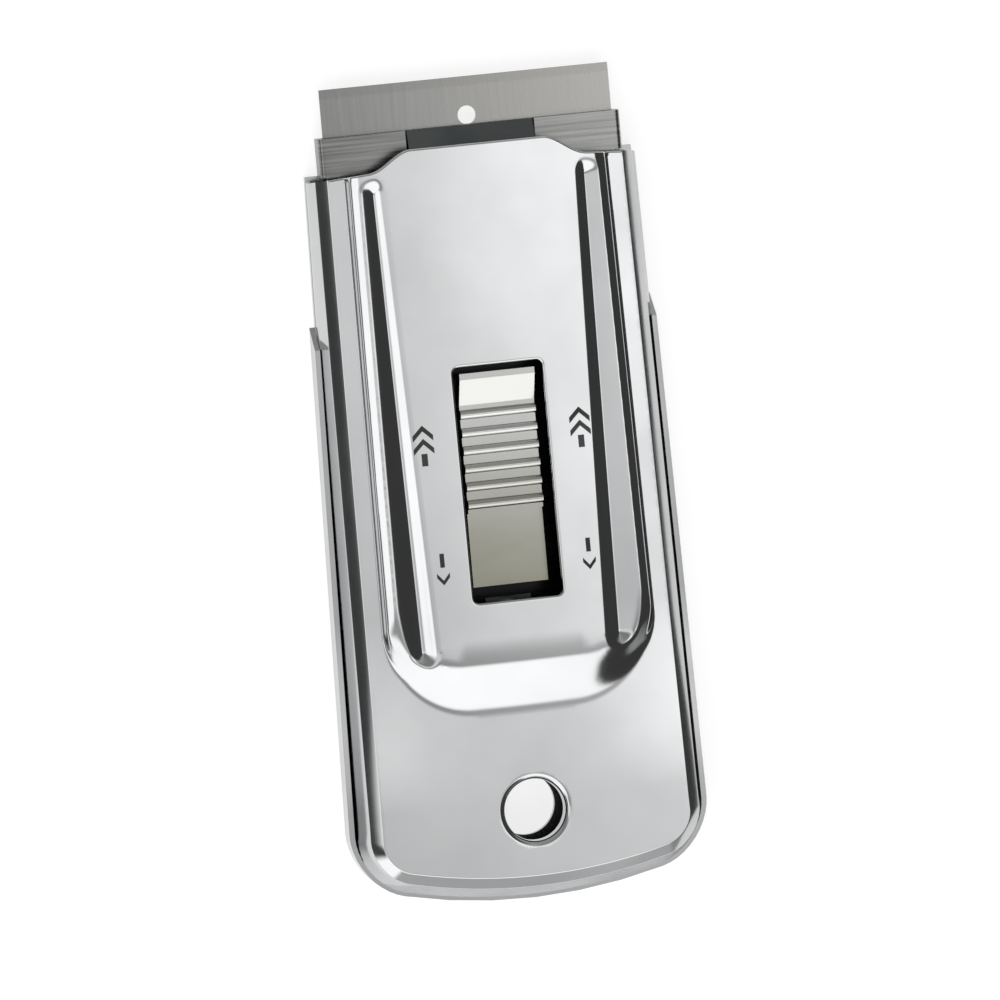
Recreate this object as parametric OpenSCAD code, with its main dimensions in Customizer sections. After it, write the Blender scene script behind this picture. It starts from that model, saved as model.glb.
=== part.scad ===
// Retractable razor blade scraper, lying on its back plate with the blade out.
// Millimetres. +Y runs to the cutting edge, +Z up, X across. The origin is the
// middle of the base of the whole object. Stations along the body are given as
// distances back from the mouth, the front edge of the cover's raised panel.

/* [Body] */
// Length of the body, from its rear end to the mouth
body_l = 98.5; // [92:0.5:112]
// Distance from the carrier's side out to the cover's shoulder, at the mouth
mouth_side = 0.8; // [0.7:0.05:1.4]
// Distance that each shoulder spreads from the mouth to the rear end
rear_spread = 1; // [0.5:0.1:2]
// Height of the cover's side strips at the mouth
front_h = 5; // [4.8:0.1:6]
// Height of the cover at the rear end
rear_h = 8; // [7.4:0.1:10]
// Lean of the side walls, degrees off upright
side_draft = 10.5; // [6:0.5:14]
// Lean of the rear wall, degrees off upright
rear_draft = 12; // [8:1:20]
// Corner radius of the rear end, at the shoulder
rear_corner_r = 4.5; // [3:0.5:8]
// Radius of the rear end's bow
rear_bow_r = 70; // [50:5:200]
// Rounding of the shoulder edge
shoulder_r = 1; // [0.6:0.1:1.4]
// Thickness of the cover's sheet
cover_t = 0.6; // [0.5:0.05:0.7]
// Thickness of the back plate's sheet
plate_t = 0.8; // [0.6:0.1:1.2]
// Height of the rim that stands up round the back plate, above its sheet
rim_h = 2; // [1.2:0.1:2.6]
// Thickness of that rim
rim_t = 0.7; // [0.5:0.1:0.9]
// Distance from the mouth to where the rim starts
rim_start = 22; // [18:0.5:28]

/* [Panel] */
// Height of the raised panel above the side strips
panel_rise = 1.8; // [1.2:0.1:2.2]
// Width of the flat strip between the panel's foot and the shoulder
strip_w = 4.3; // [3.8:0.1:4.6]
// Run of the panel's side slope
panel_side_run = 0.8; // [0.5:0.1:1.2]
// Distance from the mouth to the rear end of the flat panel
panel_l = 66; // [62:0.5:70]
// Length of the sloped skirt behind the panel
skirt_l = 7.7; // [5:0.1:10]
// Distance that the panel's front stands ahead of the side strips
nose_out = 2.6; // [1.5:0.1:3.5]
// Half width of the nose before its edge turns back
nose_half = 8.6; // [6:0.2:10]
// Run across the body of the nose's turned-back edge
nose_turn = 6; // [4:0.2:8]

/* [Grooves] */
// Distance from the mouth to the groove's front end
groove_start = 5.2; // [4.6:0.2:8]
// Distance from the mouth to the centre of the groove's rear end
groove_end = 64.6; // [60:0.2:66]
// Distance from the panel's side in to the groove's centre, at its front
groove_front_in = 1.4; // [1.3:0.1:2]
// Distance from the panel's side in to the groove's centre, at its rear
groove_rear_in = 2.6; // [2.5:0.1:3.5]
// Width of the groove at its front
groove_front_w = 2.6; // [2.2:0.1:2.8]
// Width of the groove at its rear
groove_rear_w = 4.8; // [4:0.1:5]
// Depth of the groove at its front
groove_front_d = 1.2; // [0.8:0.1:1.4]
// Depth of the groove at its rear
groove_rear_d = 2; // [1.6:0.1:2.2]

/* [Window and hang hole] */
// Distance from the mouth to the window's front edge
window_start = 28.5; // [26:0.5:31]
// Length of the window
window_l = 29.9; // [28:0.1:32]
// Width of the window
window_w = 11.8; // [11:0.1:13]
// Corner radius of the window
window_r = 0.8; // [0.4:0.1:1.2]
// Distance from the rear end to the centre of the hang hole
hang_from_rear = 12; // [11.6:0.2:15]
// Diameter of the hang hole through both sheets
hang_d = 8; // [6:0.2:8.4]
// Roll of the hang hole's rim into the cover
hang_roll = 0.8; // [0.5:0.1:1]
// Length of the collar that turns down from the hang hole's rim
collar_l = 2.1; // [1.8:0.1:3]

/* [Blade] */
// Length of the cutting edge
blade_w = 38.1; // [37.5:0.1:38.5]
// Depth of the blade, from its edge to its back
blade_l = 19; // [18:0.1:20]
// Thickness of the blade
blade_t = 0.3; // [0.2:0.05:0.4]
// Width of the ground bevel behind the edge
bevel_l = 1.2; // [0.6:0.1:2]
// Distance that the edge stands ahead of the mouth
blade_out = 8.4; // [7:0.1:9.5]
// Diameter of the blade's hole
blade_hole_d = 2.4; // [1.6:0.1:3]
// Distance from the edge to the hole's centre
blade_hole_back = 5; // [4:0.1:5.4]
// Depth of the spine folded over the blade's back
spine_l = 5; // [4:0.1:6]
// Thickness of the spine
spine_t = 1.2; // [1:0.05:1.4]
// Side notch at each end of the blade, along the edge
notch_w = 2; // [1:0.1:3]

/* [Slide] */
// Distance that the carrier's side stands out past the blade's end
carrier_side = 0.85; // [0.8:0.05:1.2]
// Thickness of the carrier's sheet
carrier_t = 0.7; // [0.6:0.05:0.8]
// Distance from the cutting edge back to the carrier's front
ear_back = 6.2; // [6:0.1:8]
// Depth of the ears folded over the blade
ear_l = 5; // [3:0.1:6]
// Reach of each ear, inwards from the carrier's side
ear_reach = 11.4; // [8:0.2:12]
// Distance that the slide travels
travel = 11.4; // [9:0.1:11.8]
// Gap between the thumb piece and each side of the window
thumb_side = 0.95; // [0.5:0.05:1.2]
// Gap between the thumb piece's lip and the window's front edge
thumb_front_gap = 0.9; // [0.5:0.1:1.5]
// Gap between the thumb piece's tail and the window's rear edge
thumb_rear_gap = 1.1; // [0.8:0.1:2]
// Thickness of the thumb piece's sheet
thumb_t = 0.8; // [0.6:0.1:1]
// Run of the sloped lip at the thumb piece's front
lip_run = 4.3; // [3:0.1:5]
// Length of the plain tail behind the ridged pad
tail_l = 9.6; // [8:0.2:11]
// Count of the ridges across the pad
ridge_count = 6; // [4:1:8]

/* [Hidden] */
$fn = 48;

// Clearances
seat_gap = 0.05;
slide_gap = 0.1;
blade_gap = 0.1;
spring_side = 0.2;
// Overrun of cuts, and the thickness of a slice that a hull starts from
over = 2;
thin = 0.01;

// Stations of the whole object
overall_l = body_l + blade_out;
rear_y = -overall_l / 2;
mouth_y = rear_y + body_l;
edge_y = overall_l / 2;
function back(d) = mouth_y - d;

// Widths follow from the blade outwards
carrier_w = blade_w + 2 * carrier_side;
front_w = carrier_w + 2 * mouth_side;
rear_w = front_w + 2 * rear_spread;
thumb_w = window_w - 2 * thumb_side;

// The cover's top plane leans down to the mouth. It is drawn level, hung from the rear end.
lean = atan((rear_h - front_h) / body_l);
module on_top_plane() {
    translate([0, rear_y, rear_h])
        rotate([-lean, 0, 0])
            translate([0, -rear_y, 0])
                children();
}
function top_z(y) = rear_h - (y - rear_y) * tan(lean);
// Depth that the cover is drawn to before its foot is cut level
deep = rear_h + 2 * over;
rear_run = (rear_h - plate_t) * tan(rear_draft);
shoulder_rear_y = rear_y + rim_t + seat_gap + rear_run;
function shoulder_half(y) = (rear_w + (front_w - rear_w) * (y - rear_y) / body_l) / 2;
function foot_run(y) = (top_z(y) - plate_t) * tan(side_draft);
function foot_half(y) = shoulder_half(y) + foot_run(y);
function panel_half(y) = shoulder_half(y) - strip_w - panel_side_run;

// An outline with straight, leaning sides, a square front at y1, and a bowed rear end with
// rounded corners at y0. The bow lifts each point of the rear by its sagitta.
corner_steps = 10;
bow_steps = 6;
function bowed(p, bow) = [p[0], p[1] + p[0] * p[0] / (2 * bow)];
function rear_arc(half, y0, r) =
    [for (i = [0:corner_steps]) let (a = 180 + i * 90 / corner_steps)
        [r - half + r * cos(a), y0 + r + r * sin(a)]];
function rear_run_points(half, y0, r) =
    [for (i = [1:bow_steps - 1]) [(r - half) * (1 - 2 * i / bow_steps), y0]];
function mirrored(p) = [for (i = [len(p) - 1:-1:0]) [-p[i][0], p[i][1]]];
function body_outline(half0, half1, y0, y1, r, bow = rear_bow_r) =
    concat([[-half1, y1]],
        [for (p = concat(rear_arc(half0, y0, r), rear_run_points(half0, y0, r),
            mirrored(rear_arc(half0, y0, r)))) bowed(p, bow)],
        [[half1, y1]]);

// One level slice of the cover, grown all round from its shoulder line
module cover_slice(grow, rear_grow, z) {
    translate([0, 0, z])
        linear_extrude(thin)
            polygon(body_outline(rear_w / 2 + grow, front_w / 2 + grow,
                shoulder_rear_y - rear_grow, mouth_y + over, rear_corner_r + grow));
}
module cover_block(inset) {
    on_top_plane() hull() {
        cover_slice(deep * tan(side_draft) - inset, deep * tan(rear_draft) - inset, -deep);
        cover_slice(-inset, -inset, -shoulder_r - inset);
        cover_slice(-inset - shoulder_r * (1 - cos(45)), -inset - shoulder_r * (1 - cos(45)),
            -inset - shoulder_r * (1 - sin(45)));
        cover_slice(-inset - shoulder_r, -inset - shoulder_r, -inset - thin);
    }
}

// The raised panel with its sloped skirt
skirt_corner_share = 1.5;
skirt_corner_r = skirt_l * skirt_corner_share;
panel_corner_r = skirt_corner_r - skirt_l / 2;
panel_bow_r = 400;
module panel_block(inset) {
    on_top_plane() hull() {
        translate([0, 0, -inset - panel_rise])
            linear_extrude(panel_rise)
                panel_outline(panel_side_run - inset, skirt_l - inset, skirt_corner_r);
        translate([0, 0, panel_rise - inset - thin])
            linear_extrude(thin)
                panel_outline(-inset, -inset, panel_corner_r);
    }
}
module panel_outline(side, rear, r) {
    polygon(body_outline(panel_half(back(panel_l)) + side, panel_half(mouth_y) + side,
        back(panel_l) - rear, mouth_y + over, r, panel_bow_r));
}

// Pressed grooves: a cone lying along the panel with a ball at each end
function groove_r(w, d) = (w * w / 4 + d * d) / (2 * d);
front_r = groove_r(groove_front_w, groove_front_d);
rear_r = groove_r(groove_rear_w, groove_rear_d);
groove_front_x = panel_half(back(groove_start)) - groove_front_in;
groove_rear_x = panel_half(back(groove_end)) - groove_rear_in;
groove_run = groove_end - groove_start;
groove_dx = groove_front_x - groove_rear_x;
front_axis_z = panel_rise - groove_front_d + front_r;
rear_axis_z = panel_rise - groove_rear_d + rear_r;
groove_dz = front_axis_z - rear_axis_z;
groove_axis_l = sqrt(groove_run * groove_run + groove_dx * groove_dx + groove_dz * groove_dz);
groove_turn = atan(groove_dx / groove_run);
groove_dip = asin(groove_dz / groove_axis_l);
module groove_tool(side, grow) {
    on_top_plane()
        translate([side * groove_rear_x, back(groove_end), rear_axis_z])
            rotate([0, 0, -side * groove_turn])
                rotate([groove_dip - 90, 0, 0]) {
                    cylinder(h = groove_axis_l, r1 = rear_r + grow, r2 = front_r + grow);
                    sphere(rear_r + grow);
                    translate([0, 0, groove_axis_l]) sphere(front_r + grow);
                }
}
module grooves(grow) {
    groove_tool(1, grow);
    groove_tool(-1, grow);
}

// Plan of the cover's front edge: a nose that turns back in an S on each side
strip_rake = 0.5;
function nose_y(x) =
    let (t = min(1, max(0, (abs(x) - nose_half) / nose_turn)), s = (1 - cos(180 * t)) / 2)
    mouth_y - nose_out * s
        - strip_rake * max(0, abs(x) - nose_half - nose_turn) / (front_w / 2 - nose_half - nose_turn);
module front_trim() {
    steps = 40;
    reach = foot_half(mouth_y) + over;
    translate([0, 0, -over])
        linear_extrude(rear_h + 2 * over)
            polygon(concat([[reach, mouth_y + 2 * over], [-reach, mouth_y + 2 * over]],
                [for (i = [0:steps]) let (x = -reach + 2 * reach * i / steps) [x, nose_y(x)]]));
}

// Hang hole: a rolled rim that turns down into the cover
hang_y = rear_y + hang_from_rear;
hang_top_z = top_z(hang_y);
module hang_collar() {
    translate([0, hang_y, hang_top_z - collar_l])
        cylinder(h = collar_l - cover_t / 2, d = hang_d + 2 * cover_t);
}
module hang_cut() {
    translate([0, hang_y, -over])
        cylinder(h = rear_h + 2 * over, d = hang_d);
    translate([0, hang_y, hang_top_z - hang_roll])
        rotate_extrude()
            difference() {
                square([hang_d / 2 + hang_roll, hang_roll + over]);
                translate([hang_d / 2 + hang_roll, 0]) circle(hang_roll);
            }
}

module window_cut() {
    x = window_w / 2 - window_r;
    y0 = back(window_start + window_l) + window_r;
    y1 = back(window_start) - window_r;
    for (p = [[-x, y0], [x, y0], [-x, y1], [x, y1]])
        translate([p[0], p[1], front_h / 2]) cylinder(h = rear_h, r = window_r);
    translate([-x - window_r, y0, front_h / 2]) cube([window_w, y1 - y0, rear_h]);
    translate([-x, y0 - window_r, front_h / 2]) cube([2 * x, window_l, rear_h]);
}

module front_cover() {
    color([0.85, 0.86, 0.87])
        difference() {
            union() {
                difference() {
                    union() {
                        cover_block(0);
                        panel_block(0);
                    }
                    cover_block(cover_t);
                    panel_block(cover_t);
                }
                intersection() {
                    grooves(cover_t);
                    union() {
                        cover_block(0);
                        panel_block(0);
                    }
                }
                hang_collar();
            }
            grooves(0);
            window_cut();
            hang_cut();
            front_trim();
            translate([-rear_w, rear_y - rear_w, -2 * deep])
                cube([2 * rear_w, body_l + 2 * rear_w, 2 * deep + plate_t]);
        }
}

// Back plate: a shallow tray whose rim wraps the cover's foot
plate_corner_r = rear_corner_r + foot_run(rear_y) + seat_gap;
pin_d = 2.5;
pin_slot_w = pin_d + slide_gap;
module plate_outline(grow, y1) {
    polygon(body_outline(foot_half(rear_y) + seat_gap + grow, foot_half(y1) + seat_gap + grow,
        rear_y + rim_t - grow, y1, plate_corner_r + grow));
}
module rim_end() {
    // Each rim starts with a short slope
    for (side = [-1, 1])
        translate([side * foot_half(back(rim_start)), back(rim_start), plate_t + rim_h])
            rotate([45, 0, 0])
                cube([2 * over, 2 * rim_h, 2 * rim_h], center = true);
}
module back_plate() {
    front_y = mouth_y - nose_out;
    color([0.8, 0.81, 0.82])
        difference() {
            union() {
                linear_extrude(plate_t) plate_outline(0, front_y);
                difference() {
                    linear_extrude(plate_t + rim_h) plate_outline(rim_t, back(rim_start));
                    translate([0, 0, plate_t]) linear_extrude(rim_h + over) plate_outline(0, mouth_y);
                    rim_end();
                }
            }
            translate([0, hang_y, -over]) cylinder(h = plate_t + 2 * over, d = hang_d);
            for (d = [0, travel])
                translate([0, pin_y - d, -over]) cylinder(h = plate_t + 2 * over, d = pin_slot_w);
            translate([-pin_slot_w / 2, pin_y - travel, -over])
                cube([pin_slot_w, travel, plate_t + 2 * over]);
        }
}

// Blade, lying in the carrier on the middle of its spine
carrier_z = plate_t + seat_gap;
carrier_top = carrier_z + carrier_t;
spine_z = carrier_top + seat_gap;
blade_z = spine_z + (spine_t - blade_t) / 2;
blade_back_y = edge_y - blade_l;
spine_front_y = blade_back_y + spine_l;
module razor_blade() {
    color([0.66, 0.68, 0.68])
        difference() {
            translate([-blade_w / 2, 0, 0])
                rotate([90, 0, 90])
                    linear_extrude(blade_w)
                        polygon([[blade_back_y + blade_t, blade_z], [edge_y - bevel_l, blade_z],
                            [edge_y, blade_z + blade_t / 2 - thin], [edge_y, blade_z + blade_t / 2 + thin],
                            [edge_y - bevel_l, blade_z + blade_t], [blade_back_y + blade_t, blade_z + blade_t]]);
            translate([0, edge_y - blade_hole_back, 0]) cylinder(h = rear_h, d = blade_hole_d);
            for (side = [0, 1])
                mirror([side, 0, 0])
                    translate([blade_w / 2 - notch_w, spine_front_y, 0])
                        cube([notch_w + over, notch_w, rear_h]);
        }
}
module blade_spine() {
    // A strip folded round the blade's back: a slot in a bar with a round back
    r = spine_t / 2;
    color([0.72, 0.73, 0.74])
        difference() {
            union() {
                translate([-blade_w / 2, blade_back_y + r, spine_z])
                    cube([blade_w, spine_l - r, spine_t]);
                translate([-blade_w / 2, blade_back_y + r, spine_z + r])
                    rotate([0, 90, 0]) cylinder(h = blade_w, r = r);
            }
            translate([-blade_w / 2 - over, blade_back_y + blade_t, blade_z])
                cube([blade_w + 2 * over, spine_l, blade_t]);
        }
}

// Carrier: a plate with an ear folded up and over at each front corner
carrier_front_y = edge_y - ear_back;
carrier_front_l = 26;
carrier_tail = 6.2;
waist_share = 0.62;
waist_w = carrier_w * waist_share;
stop_w = 6;
ear_z = spine_z + spine_t + blade_gap;
ear_top = ear_z + carrier_t;
rivet_d = 2.2;
rivet_head_d = 4;
rivet_head_t = 0.7;
module ear(side) {
    outer = carrier_w / 2;
    mirror([side < 0 ? 1 : 0, 0, 0])
        translate([0, carrier_front_y, 0])
            rotate([90, 0, 0])
                linear_extrude(ear_l) {
                    translate([outer - ear_reach, ear_z]) square([ear_reach - carrier_t, carrier_t]);
                    translate([outer - carrier_t, carrier_z]) square([carrier_t, ear_z - carrier_z]);
                    translate([outer - carrier_t, ear_z]) intersection() {
                        circle(carrier_t);
                        square(carrier_t);
                    }
                }
}
module carrier_holes() {
    for (y = thumb_rivet_ys) at_rivet(0, y);
    for (x = spring_rivet_xs) at_rivet(x, spring_rivet_y);
    at_rivet(0, drag_rivet_y);
    translate([0, pin_y, 0]) cylinder(h = rear_h, d = pin_d);
}
module at_rivet(x, y) {
    translate([x, y, 0]) cylinder(h = carrier_top + over, d = rivet_d);
}
module blade_carrier() {
    color([0.6, 0.61, 0.6])
        difference() {
            union() {
                translate([-carrier_w / 2, carrier_front_y - carrier_front_l, carrier_z])
                    cube([carrier_w, carrier_front_l, carrier_t]);
                translate([-waist_w / 2, carrier_rear_y, carrier_z])
                    cube([waist_w, carrier_front_y - carrier_rear_y, carrier_t]);
                for (side = [-1, 1]) ear(side);
                // Stop turned up behind the blade's spine
                for (side = [-1, 1])
                    translate([side * (waist_w - stop_w) / 2 - stop_w / 2,
                        blade_back_y - seat_gap - carrier_t, carrier_z])
                        cube([stop_w, carrier_t, spine_t + carrier_t]);
            }
            carrier_holes();
        }
}

// Thumb piece: one folded strip with a lip, a ridged pad, a plain tail and two feet
thumb_up = 0.2;
lip_z = front_h + panel_rise + thumb_up;
pad_z = front_h + thumb_up;
tail_z = pad_z - thumb_t;
foot_l = 5;
foot_rivet_share = 0.6;
thumb_l = window_l - thumb_front_gap - thumb_rear_gap;
pad_l = thumb_l - lip_run - tail_l;
ridge_pitch = pad_l / ridge_count;
ridge_share = 0.28;
ridge_r = ridge_pitch * ridge_share;
thumb_y1 = back(window_start + thumb_front_gap);
thumb_y0 = thumb_y1 - thumb_l;
carrier_rear_y = thumb_y0 - carrier_tail;
pad_y1 = thumb_y1 - lip_run;
pad_y0 = pad_y1 - pad_l;
foot_z = carrier_top;
module thumb_piece() {
    color([0.78, 0.78, 0.74])
        difference() {
            thumb_strip();
            for (y = thumb_rivet_ys)
                translate([0, y, 0]) cylinder(h = foot_z + thumb_t + thin, d = rivet_d);
        }
}
module thumb_strip() {
    translate([-thumb_w / 2, 0, 0])
        rotate([90, 0, 90])
            linear_extrude(thumb_w)
                thumb_side_view();
}
module thumb_side_view() {
    difference() {
        polygon([[thumb_y1, foot_z], [thumb_y1, lip_z], [thumb_y1 - thumb_t, lip_z],
            [pad_y1, pad_z], [pad_y0, pad_z], [pad_y0, tail_z], [thumb_y0, tail_z],
            [thumb_y0, foot_z]]);
        polygon([[thumb_y1 - thumb_t, foot_z + thumb_t],
            [thumb_y1 - thumb_t, lip_z - 2 * thumb_t],
            [pad_y1 - thumb_t / 2, pad_z - thumb_t], [pad_y0 + thumb_t, pad_z - thumb_t],
            [pad_y0 + thumb_t, tail_z - thumb_t], [thumb_y0 + thumb_t, tail_z - thumb_t],
            [thumb_y0 + thumb_t, foot_z + thumb_t]]);
        translate([thumb_y0 + foot_l, foot_z - over])
            square([thumb_l - 2 * foot_l, over + thumb_t + thin]);
    }
    for (i = [0:ridge_count - 1])
        translate([pad_y1 - (i + 0.5) * ridge_pitch, pad_z]) circle(ridge_r);
}
thumb_rivet_ys = [thumb_y1 - foot_l * foot_rivet_share, thumb_y0 + foot_l * foot_rivet_share];
module rivet(x, y, seat_z) {
    // Shank through the carrier, flush below, with a domed head on what it holds
    translate([x, y, carrier_z]) cylinder(h = seat_z - carrier_z, d = rivet_d);
    translate([x, y, seat_z])
        rotate_extrude()
            intersection() {
                translate([0, rivet_head_t - dome_r]) circle(dome_r);
                square([rivet_head_d / 2, rivet_head_t]);
            }
}
dome_r = (rivet_head_d * rivet_head_d / 4 + rivet_head_t * rivet_head_t) / (2 * rivet_head_t);
module thumb_rivets() {
    color([0.7, 0.7, 0.7]) for (y = thumb_rivet_ys) rivet(0, y, foot_z + thumb_t);
}

// Guide pin: runs in the back plate's slot and stops the slide at both ends
pin_head_d = 4.4;
pin_y = (thumb_y0 + thumb_y1) / 2;
module guide_pin() {
    color([0.7, 0.7, 0.7]) {
        translate([0, pin_y, plate_t / 4]) cylinder(h = carrier_top - plate_t / 4, d = pin_d);
        translate([0, pin_y, carrier_top]) cylinder(h = rivet_head_t, d = pin_head_d);
    }
}

// Blade spring: a leaf that arches over the spine and dips to the blade between the ears
spring_t = 0.4;
spring_w = carrier_w - 2 * (ear_reach + spring_side);
spring_foot_l = 6;
spring_arch_z = ear_z + spring_t / 4;
spring_rivet_xs = [-spring_w / 4, spring_w / 4];
spring_rise_run = 3;
spring_foot_y = blade_back_y - carrier_t - seat_gap - spring_foot_l - spring_rise_run;
spring_rivet_y = spring_foot_y + spring_foot_l / 2;
spring_nose_y = carrier_front_y;
crest_share = 0.55;
spring_crest_y = spring_nose_y - ear_l * crest_share;
spring_crest_z = ear_z + carrier_t + spring_t;
module leaf(points, w) {
    // A strip of one thickness that follows its side outline
    translate([-w / 2, 0, 0])
        rotate([90, 0, 90])
            linear_extrude(w)
                polygon(concat(points, [for (i = [len(points) - 1:-1:0]) points[i] + [0, spring_t]]));
}
module blade_spring() {
    color([0.5, 0.5, 0.48])
        difference() {
            leaf([[spring_foot_y, carrier_top], [spring_foot_y + spring_foot_l, carrier_top],
                [blade_back_y - carrier_t, spring_arch_z + spring_t],
                [blade_back_y + spine_l / 2, spring_arch_z], [spring_crest_y, spring_crest_z],
                [spring_nose_y, ear_z]], spring_w);
            for (x = spring_rivet_xs) at_rivet(x, spring_rivet_y);
        }
}
module spring_rivets() {
    color([0.7, 0.7, 0.7])
        for (x = spring_rivet_xs) rivet(x, spring_rivet_y, carrier_top + spring_t);
}

// Drag spring: a leaf behind the carrier whose curled end rubs on the back plate
drag_w = 6;
drag_foot_l = 4;
drag_leaf_l = 5;
drag_curl_r = 0.5;
drag_rivet_y = carrier_rear_y + drag_foot_l * foot_rivet_share;
drag_end_y = carrier_rear_y - drag_leaf_l;
drag_end_z = plate_t + seat_gap + drag_curl_r;
module drag_spring() {
    color([0.5, 0.5, 0.48]) {
        difference() {
            leaf([[drag_end_y, drag_end_z], [carrier_rear_y, carrier_top],
                [drag_rivet_y + drag_foot_l / 2, carrier_top]], drag_w);
            at_rivet(0, drag_rivet_y);
        }
        translate([-drag_w / 2, drag_end_y, drag_end_z])
            rotate([0, 90, 0]) cylinder(h = drag_w, r = drag_curl_r);
    }
}
module drag_rivet() {
    color([0.7, 0.7, 0.7]) rivet(0, drag_rivet_y, carrier_top + spring_t);
}

front_cover();
back_plate();
blade_carrier();
thumb_piece();
thumb_rivets();
guide_pin();
blade_spring();
spring_rivets();
drag_spring();
drag_rivet();
razor_blade();
blade_spine();
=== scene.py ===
"""Razor blade scraper: chrome pressings, a steel blade, and a plain studio round them.

Lengths are in metres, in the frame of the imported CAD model: +Y to the cutting edge, +Z up.
Stations along the body are given as distances back from the mouth, where the panel ends.
"""

import math

import bmesh
import bpy
import numpy as np
from mathutils import Matrix, Vector
from mathutils.geometry import delaunay_2d_cdt


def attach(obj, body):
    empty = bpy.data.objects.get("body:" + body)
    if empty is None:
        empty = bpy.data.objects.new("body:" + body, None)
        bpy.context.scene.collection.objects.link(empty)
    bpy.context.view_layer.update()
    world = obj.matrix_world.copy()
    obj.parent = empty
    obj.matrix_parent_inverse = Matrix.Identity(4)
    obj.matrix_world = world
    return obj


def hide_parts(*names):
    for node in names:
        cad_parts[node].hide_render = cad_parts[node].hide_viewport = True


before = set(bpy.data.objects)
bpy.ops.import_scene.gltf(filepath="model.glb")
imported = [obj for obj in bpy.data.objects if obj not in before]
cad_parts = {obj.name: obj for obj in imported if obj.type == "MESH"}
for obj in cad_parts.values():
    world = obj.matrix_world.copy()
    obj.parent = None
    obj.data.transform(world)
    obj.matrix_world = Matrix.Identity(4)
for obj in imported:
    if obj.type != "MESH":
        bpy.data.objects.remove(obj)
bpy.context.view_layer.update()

MM = 0.001

# Body: sizes that the cover's skin shares with the CAD model
BODY_L = 98.5 * MM
BLADE_OUT = 8.4 * MM
FRONT_W = 41.4 * MM
REAR_W = 43.4 * MM
FRONT_H = 5 * MM
REAR_H = 8 * MM
SIDE_DRAFT = math.radians(10.5)
REAR_DRAFT = math.radians(12)
REAR_CORNER_R = 4.5 * MM
REAR_BOW_R = 70 * MM
COVER_T = 0.6 * MM
PLATE_T = 0.8 * MM
RIM_T = 0.7 * MM
RIM_H = 2 * MM
SEAT_GAP = 0.05 * MM

# Raised panel, its nose and its skirt, as in the CAD model
PANEL_RISE = 1.8 * MM
PANEL_L = 66 * MM
PANEL_SIDE_RUN = 0.8 * MM
PANEL_BOW_R = 400 * MM
STRIP_W = 4.3 * MM
STRIP_RAKE = 0.5 * MM
SKIRT_L = 7.7 * MM
NOSE_OUT = 2.6 * MM
NOSE_HALF = 8.6 * MM
NOSE_TURN = 6 * MM

# Grooves, window and hang hole, as in the CAD model
GROOVE_START = 5.2 * MM
GROOVE_END = 64.6 * MM
GROOVE_FRONT_IN = 1.4 * MM
GROOVE_REAR_IN = 2.6 * MM
GROOVE_FRONT_W = 2.6 * MM
GROOVE_REAR_W = 4.8 * MM
WINDOW_START = 28.5 * MM
WINDOW_W = 11.8 * MM
WINDOW_R = 0.8 * MM
HANG_FROM_REAR = 12 * MM
HANG_D = 8 * MM
HANG_ROLL = 0.8 * MM

# Sizes that differ from the CAD model's a little: the plate then mirrors what it does in the photo
WINDOW_L = 30.5 * MM
GROOVE_FRONT_D = 0.5 * MM
GROOVE_REAR_D = 0.95 * MM

# The shoulder is a slope with a small round at its head and its foot
SHOULDER_R = 1.35 * MM
SHOULDER_SLOPE = math.radians(40)
SHOULDER_BLEND_R = 0.2 * MM

# The slope at the panel's sides is a steep foot below a wide bevel, and the skirt is a soft S
PANEL_BEVEL_RUN = 0.8 * MM
BEVEL_LOW_SHARE = 0.52
BEVEL_STEEP = 2.6
BEVEL_FOOT_BLEND = 0.12
BEVEL_HEAD_BLEND = 0.08
SLOPE_FOOT_BLEND = 0.2
SKIRT_EASE = 0.4
# Plan radius of the skirt's corners at its foot, in lengths of the skirt
SKIRT_CORNER = 1.5
# Where the form of the side slopes takes over from the skirt's, behind and along the panel
SIDE_FORM_BEHIND = 2 * MM
SIDE_FORM_RUN = 7 * MM

# The groove's deepest line lies towards the middle, and its inner wall is the steeper one
GROOVE_LEAN_SHARE = 0.32
GROOVE_POWER = 1.2
GROOVE_BLEND = 0.35 * MM

# Pressed edges of the window and the front: a small round, then a short flange
EDGE_ROUND = 0.3 * MM
EDGE_DEPTH_SHARE = 0.8
FLANGE_L = 0.4 * MM

# How far down inside the hang hole the skin runs
COLLAR_DROP = 1.96 * MM

# The faint outward bow of the pressed sides; it also keeps their points out of one line
SIDE_BOW = 0.06 * MM
# The wall's foot bears against the back plate's rim
WALL_TOUCH = 0.06 * MM

# Stations, slopes and sums of the sizes above
OVERALL_L = BODY_L + BLADE_OUT
REAR_Y = -OVERALL_L / 2
MOUTH_Y = REAR_Y + BODY_L
EDGE_Y = OVERALL_L / 2
LEAN = math.atan((REAR_H - FRONT_H) / BODY_L)
REAR_RUN = (REAR_H - PLATE_T) * math.tan(REAR_DRAFT)
SHOULDER_REAR_Y = REAR_Y + RIM_T + SEAT_GAP + REAR_RUN
SHOULDER_RUN = (SHOULDER_R - SHOULDER_BLEND_R) / math.cos(SHOULDER_SLOPE)
SHOULDER_DROP = SHOULDER_BLEND_R + SHOULDER_RUN * math.sin(SHOULDER_SLOPE)
# How far the drafted wall already stands out at the shoulder's foot
WALL_OUT = SHOULDER_DROP * math.tan(SIDE_DRAFT)
# The walls are drawn down from the leaning top to here, and then cut level
WALL_DEPTH = REAR_H + 4 * MM
PANEL_RUN = PANEL_SIDE_RUN + PANEL_BEVEL_RUN
SKIRT_FOOT_Y = MOUTH_Y - PANEL_L - SKIRT_L
WINDOW_Y = MOUTH_Y - WINDOW_START - WINDOW_L / 2
HANG_Y = REAR_Y + HANG_FROM_REAR
HANG_RIM_R = HANG_D / 2 + HANG_ROLL

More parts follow.
